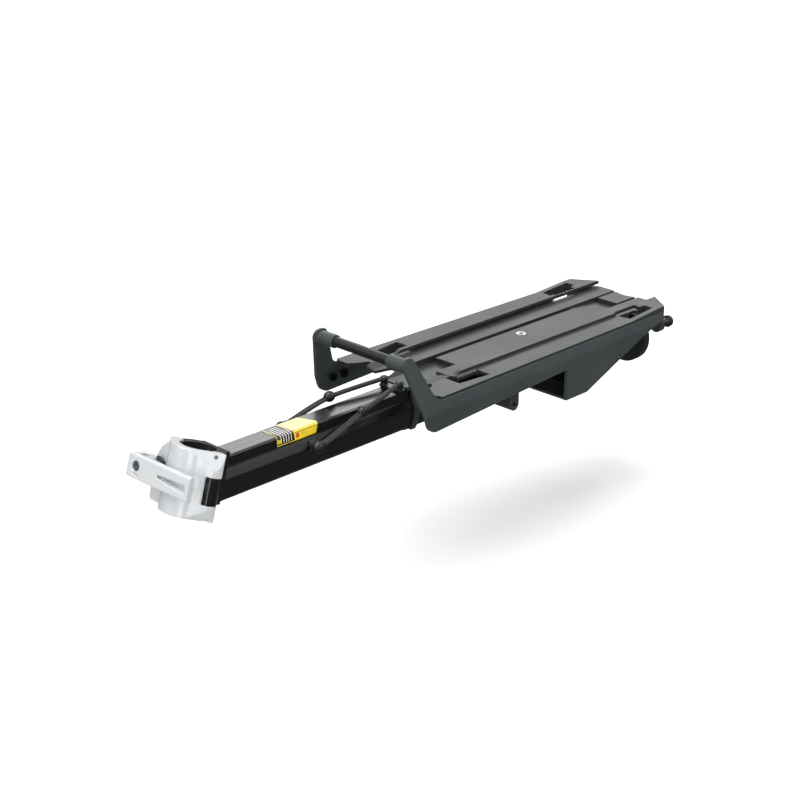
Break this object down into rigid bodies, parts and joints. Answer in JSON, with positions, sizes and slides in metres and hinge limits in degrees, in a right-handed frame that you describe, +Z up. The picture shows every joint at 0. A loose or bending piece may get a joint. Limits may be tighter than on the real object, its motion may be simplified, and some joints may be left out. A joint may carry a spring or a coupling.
{
  "type": "bicycle rear rack",
  "caption": "Beam rack that clamps to a bicycle seatpost by a cam lever, with a flat deck, bag channels, a low front hoop and elastic straps.",
  "frame": {"origin": "centre of the seatpost bore, 4 mm below the clamp's upper rim", "axes": "+X rearward along the beam, +Y to the bicycle's right, +Z up from the deck"},
  "size_m": [0.6598, 0.1538, 0.1244],
  "materials": {
    "black_cast": "gloss black powder coat on cast aluminium",
    "silver_cast": "satin silver paint on cast aluminium",
    "liner": "moulded nylon",
    "steel": "zinc-plated steel",
    "black_steel": "black oxide steel",
    "washer": "moulded black acetal",
    "beam": "gloss black anodised aluminium extrusion",
    "plastic": "glass-filled nylon, fine spark texture",
    "skirt": "satin dark grey plate",
    "label": "printed vinyl",
    "rivet": "turned eyelet",
    "bar": "satin black tube",
    "elastic": "elastic shock cord in rubber",
    "knob": "moulded black nylon",
    "lens": "red prism lens"
  },
  "bodies": {
    "rack": {"clamp_bracket": "black_cast", "bracket_liner": "liner", "beam": "beam", "beam_end_plug": "plastic", "beam_collar": "plastic", "beam_label": "label", "beam_screws": "black_steel", "deck_tray": "plastic", "track_plate": "plastic", "track_rivet": "rivet", "left_side_plate": "skirt", "right_side_plate": "skirt", "side_plate_screws": "black_steel", "tail_guard": "skirt", "left_side_lug": "plastic", "right_side_lug": "plastic", "cross_bar": "bar", "left_bar_sleeve": "plastic", "right_bar_sleeve": "plastic", "deck_screws": "steel", "deck_nuts": "steel", "strap_posts": "knob", "left_strap": "elastic", "right_strap": "elastic", "strap_beads": "knob", "strap_balls": "knob", "strap_clips": "plastic", "reflector_bracket": "plastic", "reflector_housing": "plastic", "reflector_lens": "lens", "reflector_bolt": "steel", "tail_pegs": "knob"},
    "jaw": {"seatpost_jaw": "silver_cast", "jaw_liner": "liner", "hinge_pin": "steel", "pin_lock_screw": "steel"},
    "skewer": {"skewer_rod": "steel", "skewer_barrel": "steel", "skewer_nut": "steel", "cam_pin": "steel"},
    "washers": {"rear_cam_washer": "washer", "front_cam_washer": "washer"},
    "lever": {"cam_lever": "silver_cast"},
    "adjuster": {"adjust_screw": "black_steel"}
  },
  "joints": [
    {"name": "skewer_swing", "type": "hinge", "parent": "rack", "child": "skewer", "pos_m": [0.0023, 0.035, -0.02737], "axis": [-0.2924, 0, -0.9563], "range_deg": [0, 85]},
    {"name": "lever_cam", "type": "hinge", "parent": "skewer", "child": "lever", "pos_m": [-0.03461, 0.035, -0.01608], "axis": [-0.2924, 0, -0.9563], "range_deg": [0, 75]},
    {"name": "washer_slide", "type": "slide", "parent": "skewer", "child": "washers", "axis": [-0.9563, 0, 0.2924], "range_m": [0, 0.001]},
    {"name": "jaw_release", "type": "hinge", "parent": "rack", "child": "jaw", "pos_m": [-0.00975, -0.0272, -0.02368], "axis": [0.2924, 0, 0.9563], "range_deg": [0, 1.1]},
    {"name": "adjust_screw_turn", "type": "hinge", "parent": "lever", "child": "adjuster", "pos_m": [-0.04188, 0.035, -0.01386], "axis": [0.9563, 0, -0.2924], "continuous": true}
  ],
  "couplings": [
    {"joint": "washer_slide", "follows": "lever_cam", "m_per_rad": 0.00076318},
    {"joint": "jaw_release", "follows": "lever_cam", "ratio": 0.014652}
  ]
}
